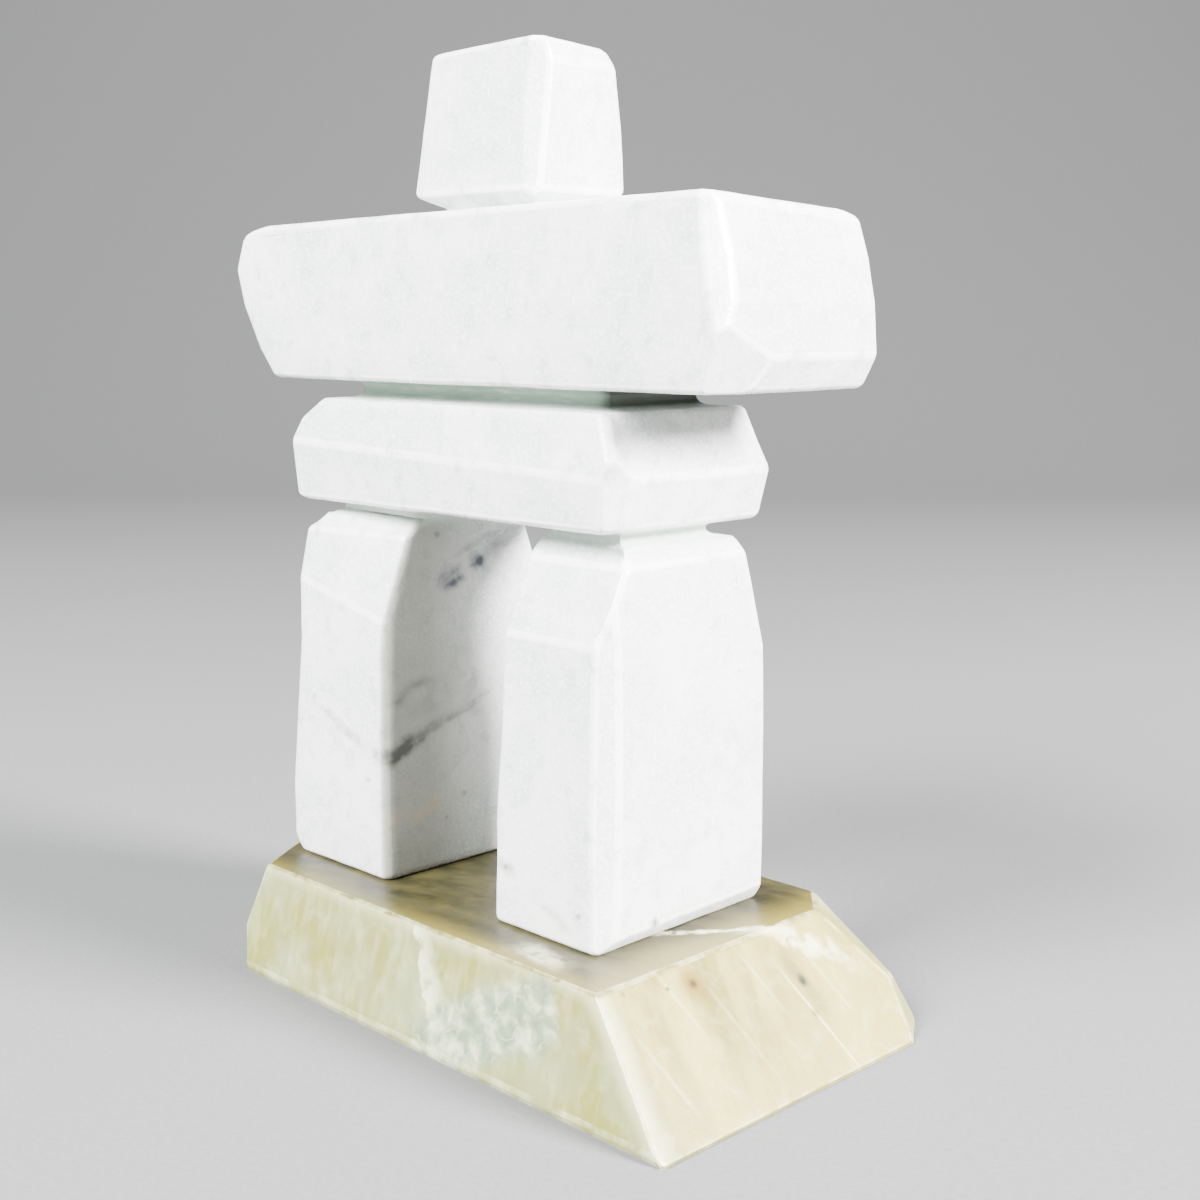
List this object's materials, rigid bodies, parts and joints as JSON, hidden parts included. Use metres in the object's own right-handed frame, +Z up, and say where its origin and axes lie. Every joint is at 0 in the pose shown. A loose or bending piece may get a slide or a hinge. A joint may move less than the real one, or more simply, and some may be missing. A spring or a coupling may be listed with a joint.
{
  "type": "inukshuk sculpture",
  "caption": "Carved stone inukshuk: block legs, torso slab, long arm stone and head cut from one marble block and parted by grooves, standing on a slope-sided plinth.",
  "frame": {"origin": "middle of the whole part's footprint box, on the plinth's flat underside", "axes": "+Z up, +X along the arm stone towards its square-cut end, -Y towards the front, where the legs and the torso are worked back most"},
  "size_m": [0.1989, 0.1058, 0.2504],
  "materials": {
    "marble": "satin white marble with a sugary grain, a few grey and rust-brown veins and softly polished edges",
    "serpentine": "polished pale yellow-green serpentine with white veins, tan streaks and a few dark specks"
  },
  "bodies": {
    "root": {"marble_figure": "marble", "serpentine_plinth": "serpentine"}
  },
  "joints": []
}
